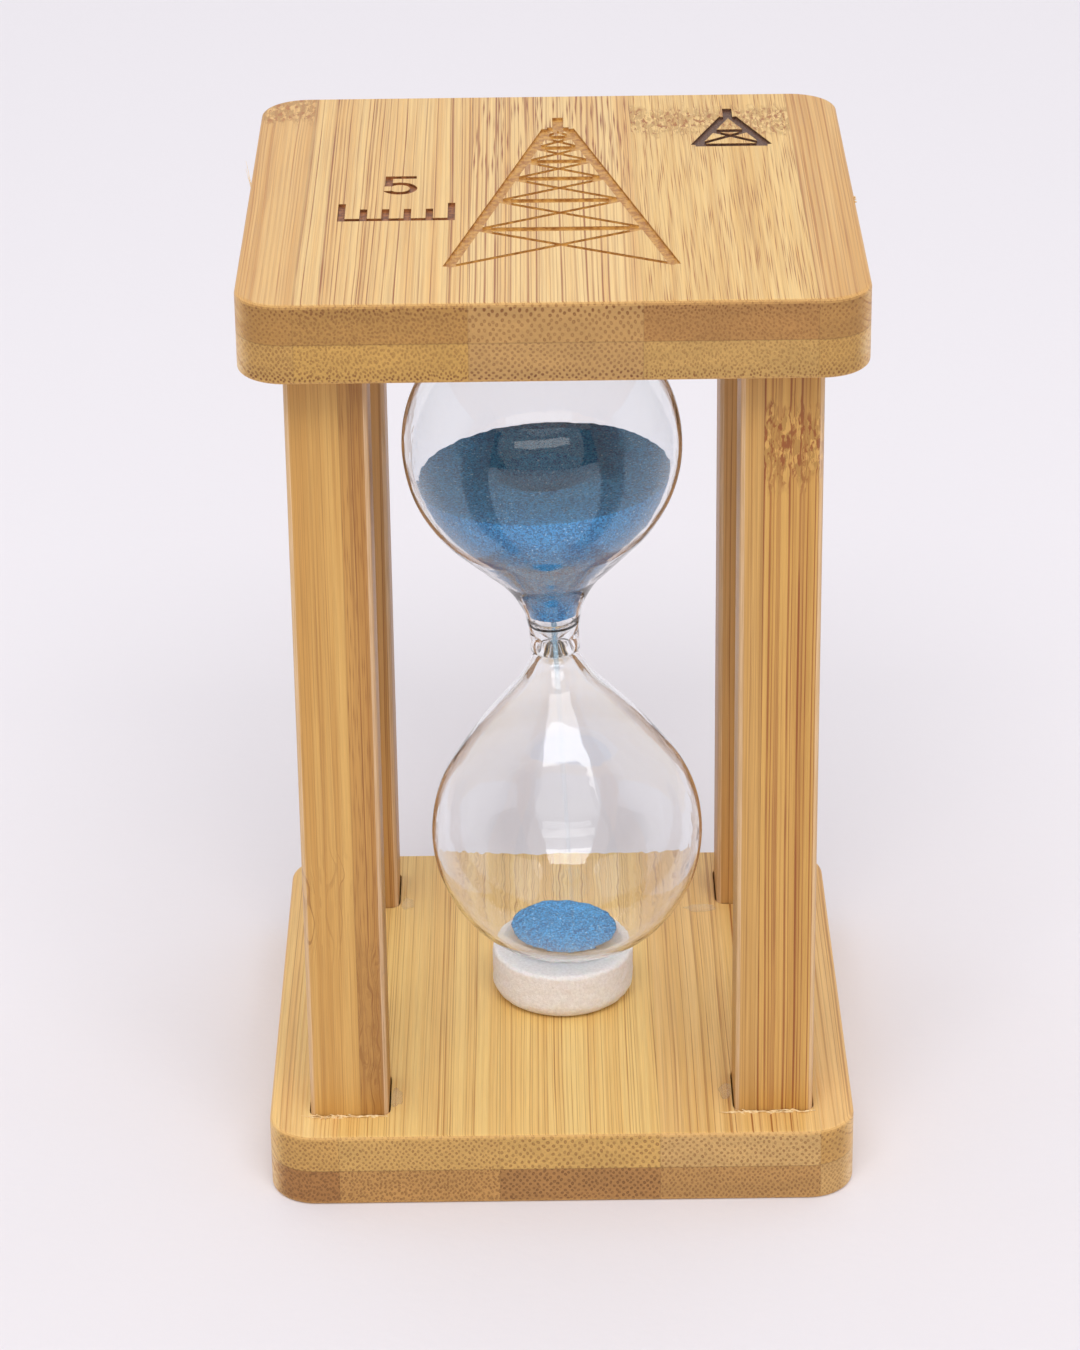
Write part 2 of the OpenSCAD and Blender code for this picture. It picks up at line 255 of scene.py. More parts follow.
class Bamboo(Shader):
    """Wood whose fibre bundles run along the grain: dots on an end face, lines on a long one."""

    def __init__(self, name, strip, grain, seed):
        super().__init__(name, Coat_Weight=0.1, Coat_Roughness=0.35, Specular_IOR_Level=0.35)
        self.strip = strip
        self.x, self.y, self.z = self.place_mm()
        self.deep, self.along = (self.z, self.y) if grain == "Y" else (self.y, self.z)
        # Every strip is cut from its own place in the cane: a across, d into and g along the fibres
        random.seed(seed)
        self.a, self.d, self.g = [self.add(value, random.uniform(-500, 500))
                                  for value in (self.x, self.deep, self.along)]
        self.hair = self.noise(self.stretched(8.0, 8.0, 0.12), 1.0, 2.0, 0.6)
        self.speck = self.noise(self.stretched(1.0, 1.0, 1.0), 3.6, 3.0, 0.7)
        self.lay_bundles()

    def stretched(self, a, d, g):
        """The place in the cane at its own scale each way. A small g draws noises out into fibres."""
        return self.vector(self.times(self.a, a), self.times(self.d, d), self.times(self.g, g))

    def lay_bundles(self):
        """Bundles keep their place in the cross-section but for a slow drift, and swirl at a knuckle."""
        strip = self.strip
        sideways, inward, _ = self.noises(self.stretched(0.1, 0.1, 0.01))
        jitter = self.noise(self.stretched(0.6, 0.3, 0.015))
        u = self.add(self.a, self.times(sideways, 2.4))
        v = self.add(self.d, self.times(inward, 1.6), self.times(jitter, 0.9))
        # Runs across every long face, whichever way that face looks
        self.w = self.add(self.a, self.times(self.d, 0.83), self.times(sideways, 1.6))
        self.knuckle = None
        if strip.knuckles:
            swirl_u, swirl_v = self.cross_knuckles()
            u, v, self.w = self.add(u, swirl_u), self.add(v, swirl_v), self.add(self.w, swirl_u)
        in_row, row = self.times(u, 1 / strip.pitch), self.times(v, 0.5 / strip.rows)
        place = {"Vector": self.vector(self.add(in_row, row), self.minus(in_row, row), 0.0)}
        self.distance, (self.chance, _, _) = self.cells(place, strip.disorder, voronoi_dimensions="2D")
        # The rows are staggered, so the cells' grid lies at 45 degrees to them
        self.reach = strip.size / strip.pitch * math.sqrt(0.5)
        self.spot = self.ramp(self.distance, self.reach * 1.35, self.reach * 0.7)

    def cross_knuckles(self):
        """Finds where knuckles cross the strip, and how far they swirl its bundles each way."""
        strip = self.strip
        across, along = 1.3 / strip.bend, 0.3 / strip.bend
        detail = 3.0 if strip.bend < 2 else 1.0
        ragged, swirl_u, swirl_v = self.noises(self.stretched(across, across, along), 1.0, detail)
        bands = []
        for centre, half_width in strip.knuckles:
            shift = self.times(self.minus(ragged, 0.5), half_width * 2.4)
            off = self.magnitude(self.add(self.along, -centre, shift))
            bands.append(self.ramp(off, half_width * 1.5, half_width * 0.6))
        self.knuckle = self.most(*bands)
        return [self.times(self.knuckle, self.minus(swirl, 0.5), strip.swirl) for swirl in (swirl_u, swirl_v)]

    def hairlines(self, spacing, width):
        """Straight lines at random places, each with its own strength."""
        distance, (chance, _, _) = self.cells({"W": self.times(self.w, 1 / spacing)}, voronoi_dimensions="1D")
        half = width / 2 / spacing
        return self.times(self.ramp(distance, half * 1.4, half * 0.5), self.ramp(chance, 0.15, 1.0))

    def pointed_dashes(self, width, length):
        """Bundles that leave the surface again: thin dashes with pointed ends, thrown at random."""
        # Half a dash as a share of its cell
        share = 0.36
        at = self.vector(self.times(self.w, 2 * share / width), self.times(self.g, 2 * share / length), 0.0)
        distance, (chance, _, _) = self.cells({"Vector": at}, voronoi_dimensions="2D", distance="MANHATTAN")
        return self.times(self.ramp(distance, share * 1.2, share * 0.5), self.ramp(chance, -0.2, 0.7))

    def long_face(self):
        """Streaks with the darkest of bundles, lines, dashes and a knuckle's ticks over them."""
        strip = self.strip
        waxing = self.noise(self.stretched(0.7, 0.7, 0.06), 1.0, 1.0)
        thin = self.noise(self.stretched(2.3, 2.3, 0.012), 1.0, 3.0, 0.7)
        streak = self.noise(self.stretched(0.6, 0.6, 0.008), 1.0, 3.0, 0.6)
        face = self.mix(self.ramp(streak, 0.34, 0.64), srgb(*strip.face), srgb(*strip.pale))
        each = self.ramp(self.chance, 0.0, 1.0, 0.2, 1.0)
        marks = [self.times(self.spot, each, self.ramp(waxing, 0.3, 0.6, 0.45, 1.0), strip.contrast),
                 self.times(self.ramp(thin, 0.5, 0.72), strip.fine)]
        for spacing, width, strength in strip.lines:
            lines = self.hairlines(spacing, width)
            marks.append(self.times(lines, self.ramp(waxing, 0.3, 0.6, 0.6, 1.0), strength))
        if strip.dashes:
            low, high, strength, width, length = strip.dashes
            dashes = self.pointed_dashes(width, length)
            marks.append(self.times(dashes, self.ramp(self.along, low, high, 0.0, strength)))
        if self.knuckle is not None:
            ticks, flecks, _ = self.noises(self.stretched(1.5, 1.5, 0.6), 1.0, 3.0, 0.6)
            dull = srgb(*[c * 0.9 for c in strip.face])
            face = self.mix(self.times(self.knuckle, strip.flecks), face, dull)
            flecked = self.times(self.knuckle, self.ramp(flecks, 0.5, 0.56), strip.flecks)
            face = self.mix(flecked, face, srgb(*strip.pale))
            marks.append(self.times(self.knuckle, self.ramp(ticks, 0.53, 0.6), strip.flecks))
        face = self.mix(self.most(*marks), face, srgb(*strip.line))
        return self.shade(face, self.ramp(self.hair, 0.25, 0.75, 0.93, 1.06))

    def end_face(self):
        """Grit and the bundles' dots, which are rings away from the cane's outer wall."""
        strip = self.strip
        cloud = self.noise(self.stretched(0.12, 0.35, 0.0), 1.0, 3.0)
        grit = self.ramp(self.speck, 0.25, 0.75, 1 - strip.grit, 1 + strip.grit)
        end = self.shade(srgb(*strip.end)[:3], grit)
        end = self.shade(end, self.ramp(cloud, 0.3, 0.7, 0.94, 1.06))
        centre, strength = 0.5, strip.pores
        if strip.skin is not None:
            near_skin = self.ramp(self.magnitude(self.minus(self.deep, strip.skin)), 2.6, 0.3)
            centre = self.add(self.times(near_skin, 0.5), 0.5)
            strength = self.times(self.add(self.times(near_skin, 0.45), 0.75), strip.pores)
            end = self.shade(end, self.add(self.times(near_skin, -0.08), 1.02))
        ring = self.ramp(self.distance, self.reach * 0.2, self.reach * 0.8, centre, 1.0)
        pores = self.times(self.spot, ring, self.ramp(self.chance, 0.0, 1.0, 0.7, 1.0), strength)
        return self.mix(self.math("MINIMUM", pores, 1.0), end, srgb(*strip.dot))

    def paint_edge_highlight(self, colour, turned, highlight_colour):
        """Painted highlight: rounded edges are painted a little paler, as where they catch the light. turned
        is how far the surface faces one way.
        """
        lit_edge = self.times(self.ramp(turned, 0.1, 0.4), self.ramp(turned, 0.99, 0.85))
        return self.mix(self.times(lit_edge, self.ramp(self.hair, 0.3, 0.7, 0.3, 0.7)), colour, highlight_colour)

    def glue_line(self, colour, axis, value):
        """A thin dark line where two strips meet, plainest between the plies."""
        gap = self.magnitude(self.minus({"x": self.x, "z": self.z}[axis], value))
        return self.shade(colour, self.ramp(gap, 0.03, 0.14, 0.78 if axis == "z" else 0.88, 1.0))

    def burn(self, colour):
        """Scorches the floor of the marks in the top face: pale on the big mast, dark on the others."""
        # Deeper than the face, but not down an edge or a corner, which are rounded
        sunk = self.ramp(self.z, TOP_Z - 0.04, TOP_Z - 0.1)
        from_x, from_y = self.magnitude(self.x), self.magnitude(self.y)
        off_edges = self.ramp(self.most(from_x, from_y), BOARD_HALF - 1.0, BOARD_HALF - 1.2)
        off_corners = self.ramp(self.add(from_x, from_y), 2 * BOARD_HALF - 11, 2 * BOARD_HALF - 13)
        off_sides = self.ramp(self.z, TOP_Z - 1.0, TOP_Z - 0.9)
        sunk = self.times(sunk, off_edges, off_corners, off_sides)
        # The numeral and its rule lie left of and behind one corner, the small mast right of another
        numeral_x, numeral_y, mast_x, mast_y, blur = -10.4, -10.6, 16.9, 15.0, 0.1
        on_numeral = self.times(self.ramp(self.x, numeral_x, numeral_x - blur),
                                self.ramp(self.y, numeral_y, numeral_y + blur))
        on_small_mast = self.times(self.ramp(self.x, mast_x, mast_x + blur),
                                   self.ramp(self.y, mast_y, mast_y + blur))
        patchy = self.noise(self.vector(self.x, self.y, 0.0), 1.1, 3.0, 0.6)
        pale = self.mix(self.ramp(patchy, 0.35, 0.65), srgb(206, 156, 82), srgb(168, 112, 52))
        brown = self.mix(self.ramp(patchy, 0.4, 0.62), srgb(112, 64, 34), srgb(158, 98, 54))
        black = self.mix(self.ramp(self.speck, 0.4, 0.62), srgb(70, 44, 34), srgb(112, 78, 58))
        scorch = self.mix(on_small_mast, self.mix(on_numeral, pale, brown), black)
        return self.mix(sunk, colour, scorch)


def bamboo(name, strip, grain, seed, joints, burnt=False):
    """One strip's wood. joints are the (axis, place in mm) of its glue lines."""
    s = Bamboo(name, strip, grain, seed)
    facing = [s.magnitude(value) for value in s.split(s.coordinates.outputs["Normal"])]
    on_end = s.ramp(facing["XYZ".index(grain)], 0.35, 0.8)
    colour = s.mix(on_end, s.long_face(), s.end_face())
    # Darker or lighter towards one end; at the front posts' tops, under the top board, this is painted shade
    for low, high, shade in strip.shades:
        colour = s.shade(colour, s.ramp(s.along, low, high, 1.0, shade))
    # Painted highlight: the rounded edges are painted paler
    if grain == "Y":
        colour = s.paint_edge_highlight(colour, facing[2], srgb(224, 174, 104))
    else:
        colour = s.paint_edge_highlight(colour, facing[0], srgb(230, 200, 164))
    for axis, value in joints:
        colour = s.glue_line(colour, axis, value)
    if burnt:
        colour = s.burn(colour)
    dull = s.ramp(s.add(s.times(s.hair, 0.6), s.times(on_end, 0.35)), 0.1, 0.8, 0.36, 0.7)
    s.link(Base_Color=colour, Roughness=dull)
    relief = s.add(s.times(s.spot, -0.6), s.times(s.hair, 0.4), s.times(s.speck, 0.35))
    s.bump(s.times(relief, 0.05))
    return s.material


def dress(node, material):
    mesh = nodes[node].data
    mesh.materials.clear()
    mesh.materials.append(material)


# The five strips of each board from left to right, as their end grain and faces show them
TOP_OUTER = [
    Strip(face=(208, 160, 96), pale=(222, 180, 116), end=(168, 124, 66), pitch=0.7, rows=0.45, size=0.24,
          contrast=0.3, fine=0.5, lines=[(0.9, 0.16, 0.8), (0.35, 0.12, 0.7)],
          knuckles=[(33.5, 5.0)], flecks=1.0, pores=0.9, skin=TOP_Z),
    Strip(face=(224, 180, 114), pale=(232, 196, 132), line=(154, 94, 48), end=(172, 128, 68), pitch=0.6,
          rows=0.38, size=0.26, disorder=0.8, contrast=0.3, pores=0.9,
          lines=[(1.25, 0.24, 1.0), (0.45, 0.15, 0.95)], skin=TOP_Z),
    Strip(face=(224, 180, 114), pale=(234, 200, 138), line=(154, 94, 52), end=(182, 140, 84),
          contrast=0.2, fine=0.4, lines=[(1.0, 0.24, 0.95), (0.45, 0.14, 0.85)],
          dashes=(-10, 14, 1.0, 0.27, 10), pores=0.95, grit=0.07, skin=TOP_Z),
    Strip(face=(222, 180, 110), pale=(232, 196, 130), line=(166, 106, 50), end=(168, 122, 68), pitch=0.6,
          rows=0.38, size=0.24, disorder=0.8, contrast=0.15, fine=0.45,
          lines=[(2.2, 0.14, 0.4), (0.4, 0.11, 0.5)], dashes=(-60, -50, 0.9, 0.17, 13), pores=0.85,
          knuckles=[(26.5, 4.4)], flecks=1.0, skin=TOP_Z),
    Strip(face=(208, 160, 94), pale=(222, 180, 116), line=(166, 104, 48), end=(168, 124, 68), pitch=0.8,
          rows=0.5, size=0.28, contrast=0.3, fine=0.6, lines=[(0.9, 0.22, 0.85), (0.36, 0.12, 0.75)],
          skin=TOP_Z),
]
TOP_INNER = [
    Strip(end=(186, 144, 80), pitch=0.62, rows=0.4, size=0.28, pores=0.95, skin=BOARD_UNDER),
    Strip(end=(190, 147, 78), pitch=0.58, rows=0.38, size=0.25, disorder=0.7, pores=0.85, skin=BOARD_UNDER),
    Strip(end=(182, 141, 86), dot=(120, 76, 44), pitch=0.8, rows=0.45, size=0.31, disorder=0.35,
          pores=0.95, grit=0.08, skin=BOARD_UNDER),
    Strip(end=(186, 146, 84), pitch=0.54, rows=0.36, size=0.22, disorder=0.8, pores=0.75, skin=BOARD_UNDER),
    Strip(end=(184, 142, 78), pitch=0.6, rows=0.4, size=0.26, skin=BOARD_UNDER),
]
BOTTOM_INNER = [
    Strip(face=(230, 186, 116), pale=(238, 202, 132), end=(194, 150, 84), pitch=0.7, rows=0.45, size=0.28,
          contrast=0.2, lines=[(1.8, 0.2, 0.7), (0.5, 0.13, 0.7)]),
    Strip(face=(230, 188, 114), pale=(238, 202, 128), line=(176, 118, 50), end=(198, 156, 90), pitch=0.8,
          rows=0.45, size=0.3, contrast=0.2, fine=0.25, lines=[(0.8, 0.16, 0.85), (0.36, 0.11, 0.7)]),
    Strip(face=(232, 190, 114), pale=(240, 206, 132), line=(174, 114, 50), end=(200, 158, 90), contrast=0.2,
          fine=0.25, lines=[(0.9, 0.17, 0.85), (0.36, 0.11, 0.75)]),
    Strip(face=(222, 178, 106), pale=(234, 194, 126), line=(160, 98, 44), end=(198, 158, 100), pitch=0.9,
          rows=0.5, size=0.32, contrast=0.25, fine=0.3, lines=[(1.3, 0.24, 0.95), (0.45, 0.13, 0.75)]),
    Strip(face=(222, 176, 108), pale=(234, 192, 126), line=(160, 98, 46), end=(190, 146, 82), pitch=0.8,
          rows=0.5, size=0.28, contrast=0.2, fine=0.2, lines=[(2.0, 0.24, 0.9), (0.5, 0.12, 0.55)]),
]
BOTTOM_OUTER = [
    Strip(end=(160, 112, 62), dot=(106, 68, 34), pitch=0.6, rows=0.4, size=0.27, disorder=0.8),
    Strip(end=(184, 138, 79), dot=(116, 74, 38), pitch=0.6, rows=0.4, size=0.27, disorder=0.7),
    Strip(end=(168, 122, 70), dot=(98, 60, 32), pitch=0.85, rows=0.48, size=0.34, disorder=0.4, pores=0.9),
    Strip(end=(180, 136, 80), dot=(118, 76, 42), pitch=0.7, rows=0.45, size=0.28),
    Strip(end=(196, 156, 98), dot=(146, 102, 58), pitch=0.6, rows=0.4, size=0.26),
]
BOARDS = {
    "top_outer": TOP_OUTER, "top_inner": TOP_INNER,
    "bottom_inner": BOTTOM_INNER, "bottom_outer": BOTTOM_OUTER,
}


def dress_boards():
    for row, (board, strips) in enumerate(BOARDS.items()):
        for i, strip in enumerate(strips, start=1):
            node = f"{board}_strip_{i}"
            low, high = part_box(node)
            joints = [("z", (low.z if board in ("top_outer", "bottom_inner") else high.z) / MM)]
            if i > 1:
                joints.append(("x", low.x / MM))
            if i < len(strips):
                joints.append(("x", high.x / MM))
            material = bamboo(f"{node}_wood", strip, "Y", 10 * row + i, joints, burnt=board == "top_outer")
            dress(node, material)


def post_strip(**given):
    """A strip of a post: darker wood than the boards', unless given otherwise."""
    usual = dict(face=(198, 148, 78), pale=(214, 168, 96), line=(134, 80, 36), pitch=1.15, size=0.32,
                 contrast=0.2, fine=0.5, lines=[(1.2, 0.16, 0.8), (0.4, 0.11, 0.6)])
    return Strip(**{**usual, **given})


# The last of each front post's shades darkens its top under the top board: painted shade
POSTS = {
    "front_left_left": post_strip(
        lines=[(2.2, 0.16, 0.8), (0.7, 0.1, 0.5)], knuckles=[(41.0, 6.0)], swirl=6.0, bend=4.0, flecks=0.0,
        shades=[(96, 113, 0.88)]),
    "front_left_right": post_strip(
        face=(180, 128, 64), pale=(196, 146, 78), dashes=(8, 10, 0.5, 0.2, 5), knuckles=[(24.0, 9.0)],
        swirl=4.0, bend=2.5, flecks=0.25, shades=[(60, 10, 0.93), (92, 112, 0.84)]),
    "front_right_left": post_strip(
        face=(188, 140, 74), pale=(206, 160, 92), fine=0.3, lines=[(1.5, 0.14, 0.6), (0.5, 0.1, 0.4)],
        shades=[(100, 113, 0.93)]),
    "front_right_right": post_strip(
        face=(194, 144, 72), pale=(210, 162, 88), line=(142, 76, 34),
        lines=[(1.15, 0.26, 0.95), (0.4, 0.13, 0.8)], knuckles=[(103.0, 4.2)], swirl=2.4, flecks=0.9,
        shades=[(104, 113, 0.9)]),
    "back_left_left": post_strip(face=(172, 124, 66), pale=(192, 144, 86)),
    "back_left_right": post_strip(face=(174, 126, 68), pale=(190, 142, 84)),
    "back_right_left": post_strip(face=(176, 128, 68), pale=(192, 144, 84)),
    "back_right_right": post_strip(face=(174, 124, 66), pale=(190, 142, 84)),
}


def dress_posts():
    for row, (name, strip) in enumerate(POSTS.items()):
        node = f"post_{name}_strip"
        low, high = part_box(node)
        joint = high.x if name.endswith("left") else low.x
        dress(node, bamboo(f"{node}_wood", strip, "Z", 60 + row, [("x", joint / MM)]))


# ---------- meshes ----------


def new_object(name, vertices, faces, material):
    mesh = bpy.data.meshes.new(name)
    mesh.from_pydata([tuple(v) for v in vertices], [], faces)
    mesh.materials.append(material)
    mesh.shade_smooth()
    made = bpy.data.objects.new(name, mesh)
    scene.collection.objects.link(made)
    return made


def lathe(profile, turns, place):
    """Turns (radius, height) points about an axis by way of place(radius, turn, height)."""
    vertices, faces, rings = [], [], []
    for r, h in profile:
        if r < 1e-9:
            rings.append([len(vertices)])
            vertices.append(place(0.0, 0.0, h))
            continue
        rings.append(list(range(len(vertices), len(vertices) + turns)))
        for k in range(turns):
            turn = 2 * math.pi * k / turns
            vertices.append(place(r, turn, h))
    for low, high in zip(rings, rings[1:]):
        for k in range(turns):
            n = (k + 1) % turns
            if len(low) == 1:
                faces.append((low[0], high[n], high[k]))
            elif len(high) == 1:
                faces.append((low[k], low[n], high[0]))
            else:
                faces.append((low[k], low[n], high[n], high[k]))
    return vertices, faces


def arc(cx, cy, r, start, end, step=2.0):
    """Points of an arc, from one angle to another in degrees."""
    n = max(1, math.ceil(abs(end - start) / step))
    angles = [math.radians(start + (end - start) * i / n) for i in range(n + 1)]
    return [(cx + r * math.cos(t), cy + r * math.sin(t)) for t in angles]


# ---------- glass and sand ----------

JOINT = frame["joints"][0]
NECK = Vector(JOINT["pos_m"])
AXIS = Vector(JOINT["axis"]).normalized()
TILT = Vector((0, 0, 1)).rotation_difference(AXIS)
GLASS_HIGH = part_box("glass_vessel")[1]
# Outlines are (radius, height above the neck) in mm. REACH is the height of a bulb's middle
BULB_R = GLASS_HIGH.y / MM
REACH = ((GLASS_HIGH.z - NECK.z) / MM - BULB_R) / AXIS.z
# Slope of the upper bulb's cone, and where the round part of the lower bulb ends, in degrees
UPPER_CONE = 45.5
SHOULDER = 35
# The collar hangs down round the neck
COLLAR_R = 3.2
COLLAR_END = -1.2
WALL = 0.42

# The grains of the lower bulb: how far inside the bulb's skin, their foot, their depth at the side
# and how much higher they are in the middle
CAVITY_WALL = 1.4
SAND_FOOT = CAVITY_WALL - REACH - BULB_R
PILE = 1.6
MOUND = 0.35
# They don't lean with the glass, but a little the other way
LEVEL = Matrix.Rotation(math.radians(2.2), 3, "Y")
# The grains of the upper bulb, from the arch over the hole to the surface with its crater
SAND_END = 3.2
SAND_TOP = 23.8
CRATER_R = 6.2
CRATER_DEPTH = 3.4


def on_axis(r, turn, h):
    return NECK + TILT @ Vector((r * math.cos(turn), r * math.sin(turn), h)) * MM


def bulb(r, cone, throat, fillet):
    """Half outline of a bulb above the neck in mm, from its throat to its far pole."""
    c = math.radians(cone)
    corner = REACH - r * math.sin(c) - (r * math.cos(c) - throat) / math.tan(c)
    start = corner - fillet * math.tan(c / 2)
    return arc(throat + fillet, start, fillet, 180, 180 - cone) + arc(0, REACH, r, -cone, 90)


def curve(points, steps=6):
    """A smooth curve through points (Catmull-Rom)."""
    ends = [points[0]] + points + [points[-1]]
    made = []
    for p, q, r, t in zip(ends, ends[1:], ends[2:], ends[3:]):
        for i in range(steps):
            k = i / steps
            made.append(tuple(
                0.5 * (2 * q[n] + (r[n] - p[n]) * k + (2 * p[n] - 5 * q[n] + 4 * r[n] - t[n]) * k ** 2
                       + (3 * q[n] - p[n] - 3 * r[n] + t[n]) * k ** 3) for n in (0, 1)))
    return made + [points[-1]]


def on_the_pole(profile):
    """Puts the last point exactly on the axis."""
    return profile[:-1] + [(0.0, profile[-1][1])]


def blown(r, turn, h):
    """Hand-blown glass is never quite round, so its radius swells and sinks by a hair."""
    at = Vector((math.cos(turn) * 1.2, math.sin(turn) * 1.2, h * 0.07))
    swell = noise.noise(at) * 0.10 + noise.noise(at * 2.7) * 0.05
    return on_axis(r + swell * min(1.0, r / 8), turn, h)


def funnel():
    """Inside of the upper bulb, from the hole to the pole."""
    wall = on_the_pole(bulb(BULB_R - WALL, UPPER_CONE, 2.75, 12))
    return [(0.69, 0.75), (1.6, 1.8), (2.42, 2.75), (2.85, 3.25)] + [p for p in wall if p[1] > 3.4]


def radius_at(profile, h):
    """Radius of a rising outline at one height."""
    for (r, low), (wider, high) in zip(profile, profile[1:]):
        if low <= h <= high:
            return r + (wider - r) * (h - low) / (high - low)
    raise ValueError(f"no radius at {h}")


def glass_outside():
    """Lower bulb, shoulders that swell outward, waist, a collar like a skirt round it, upper bulb."""
    lower = [(0.0, -REACH - BULB_R)] + arc(0, -REACH, BULB_R, -88, SHOULDER)
    waist = curve([lower[-1], (10.9, -12.4), (8.3, -9.3), (6.45, -7.2), (4.95, -5.5), (4.0, -3.95),
                   (3.4, -2.75), (2.9, -2.1), (2.1, -1.65), (1.25, -1.0), (0.82, -0.35), (0.74, 0.1)])[1:]
    under_collar = [(1.0, 0.45), (1.9, 1.5), (2.72, 2.45), (2.82, 2.5), (2.84, 2.4), (2.5, 0.8), (2.12, -1.0)]
    collar = [(2.2, COLLAR_END), (COLLAR_R - 0.12, COLLAR_END), (COLLAR_R, COLLAR_END + 0.12)]
    return lower + waist + under_collar + collar + on_the_pole(bulb(BULB_R, UPPER_CONE, COLLAR_R, 13))


def glass_inside():
    """Lower bulb, waist down to the hole, and the funnel of the upper bulb."""
    lower = [(0.0, -REACH - BULB_R + WALL)] + arc(0, -REACH, BULB_R - WALL, -88, SHOULDER)
    waist = curve([lower[-1], (10.6, -12.65), (7.95, -9.6), (6.05, -7.6), (4.35, -5.85), (3.2, -4.4),
                   (2.4, -3.25), (1.6, -2.4), (0.95, -1.6), (0.52, -0.75), (0.4, -0.2)])[1:]
    return lower + waist + [(0.4, 0.35)] + funnel()


def make_glass():
    # The sheen is the thin film of dust that glass gathers
    s = Shader("clear_glass", Base_Color=(0.986, 0.994, 1.0, 1), Roughness=0.0, IOR=1.5,
               Transmission_Weight=1.0, Sheen_Weight=0.06, Sheen_Roughness=0.6)
    waves = s.noise(s.vector(*s.place_mm()), 0.22, 2.0)
    s.bump(s.times(waves, 0.05))
    turns = 160
    vertices, faces = lathe(glass_outside(), turns, blown)
    inside, inside_faces = lathe(glass_inside(), turns, blown)
    first = len(vertices)
    faces += [tuple(first + i for i in reversed(face)) for face in inside_faces]
    glass = new_object("blown_glass", vertices + inside, faces, s.material)
    glass.data.set_sharp_from_angle(angle=math.radians(50))
    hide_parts("glass_vessel")
    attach(glass, "glass")
    # Clear glass lets the light through to the sand and the seats
    glass.visible_shadow = False


def sand_material():
    s = Shader("blue_sand", Specular_IOR_Level=0.25)
    x, y, z = s.place_mm()
    grain_size = 0.17
    at = s.vector(x, y, z)
    distance, (tint, glint, dullness) = s.cells({"Vector": at}, scale=1 / grain_size)
    drift = s.noise(at, 0.35, 3.0)
    depth = s.ramp(s.add(s.times(tint, 0.7), s.times(drift, 0.3)), 0.1, 0.9)
    colour = s.mix(depth, srgb(8, 98, 162), srgb(78, 184, 248))
    colour = s.mix(s.ramp(glint, 0.975, 0.99), colour, srgb(170, 222, 255))
    # The far side of the crater and the surface behind it lie in their own shade
    upward = s.split(s.coordinates.outputs["Normal"])[2]
    shaded = s.times(s.ramp(upward, 0.3, 0.7), s.ramp(y, -7, 1), s.ramp(z, 70, 75))
    shaded = s.times(shaded, s.ramp(s.magnitude(x), 12, 6))
    s.link(Base_Color=s.shade(colour, s.add(s.times(shaded, -0.45), 1.0)),
           Roughness=s.ramp(dullness, 0.5, 1.0, 0.85, 0.5))
    s.bump(s.times(s.ramp(distance, 0.0, 0.6, 1.0, 0.0), 0.08))
    return s.material


def grains(r, turn, h):
    """Roughens a surface by less than a grain."""
    at = on_axis(r, turn, h)
    return at + AXIS * noise.noise(at * 2500) * 0.06 * MM


def settled(r, turn, h):
    """The same for the grains at the bottom, which don't lean with the glass."""
    middle = NECK - AXIS * REACH * MM
    at = middle + LEVEL @ Vector((r * math.cos(turn), r * math.sin(turn), h + REACH)) * MM
    return at + AXIS * noise.noise(at * 4000) * 0.03 * MM


def loose(r, turn, h):
    """Makes the falling thread thicker and thinner by turns."""
    return on_axis(r * (1 + 0.5 * noise.noise(Vector((turn, h * 3, 0)))), turn, h)


def upper_sand():
    """An arch over the hole, the side a little off the glass, and the surface with its crater."""
    outline = [(0.0, SAND_END), (0.8, SAND_END + 0.05), (1.6, SAND_END + 0.25), (2.3, SAND_END + 0.6)]
    start, steps = SAND_END + 1, 90
    glass = funnel()
    for i in range(steps + 1):
        h = start + (SAND_TOP - start) * i / steps
        # The gap widens from 0.12 to 0.72 mm between 6 and 13 mm above the neck
        gap = 0.12 + 0.6 * max(0.0, min(1.0, (h - 6) / 7))
        outline.append((radius_at(glass, h) - gap, h))
    rim = outline[-1][0]
    outline += [(rim + (CRATER_R - rim) * i / 40, SAND_TOP) for i in range(41)]
    outline += [(CRATER_R * (1 - i / 30), SAND_TOP - CRATER_DEPTH * (i / 30) ** 0.9) for i in range(1, 31)]
    return on_the_pole(outline)


def lower_sand():
    """A shallow pile in the bottom of the bulb, a little higher in its middle."""
    cavity_r = BULB_R - CAVITY_WALL
    filled = math.degrees(math.acos(1 - PILE / cavity_r))
    bowl = arc(0, -REACH, cavity_r, -90, filled - 90, 0.5)
    edge_r = bowl[-1][0]
    outline = [(0.0, SAND_FOOT)] + bowl[1:]
    outline += [(edge_r * (1 - i / 40), SAND_FOOT + PILE + MOUND * (i / 40)) for i in range(1, 41)]
    return on_the_pole(outline)


def falling_sand():
    """A thread from inside the arch to the top of the pile, wider where it begins to fall."""
    low, high = SAND_FOOT + PILE + MOUND - 0.1, SAND_END - 0.3
    steps = 90
    side = [(0.22 + 0.14 * i / steps, low + (high - low) * i / steps) for i in range(steps + 1)]
    return [(0.0, low)] + side + [(0.0, high)]


def make_sand():
    material = sand_material()
    for node, outline, turns, place, finish in (
        ("upper_sand", upper_sand(), 144, grains, material),
        ("lower_sand", lower_sand(), 144, settled, material),
        ("falling_sand", falling_sand(), 12, loose, thread_material()),
    ):
        body = new_object(f"{node}_grains", *lathe(outline, turns, place), finish)
        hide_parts(node)
        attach(body, "glass")


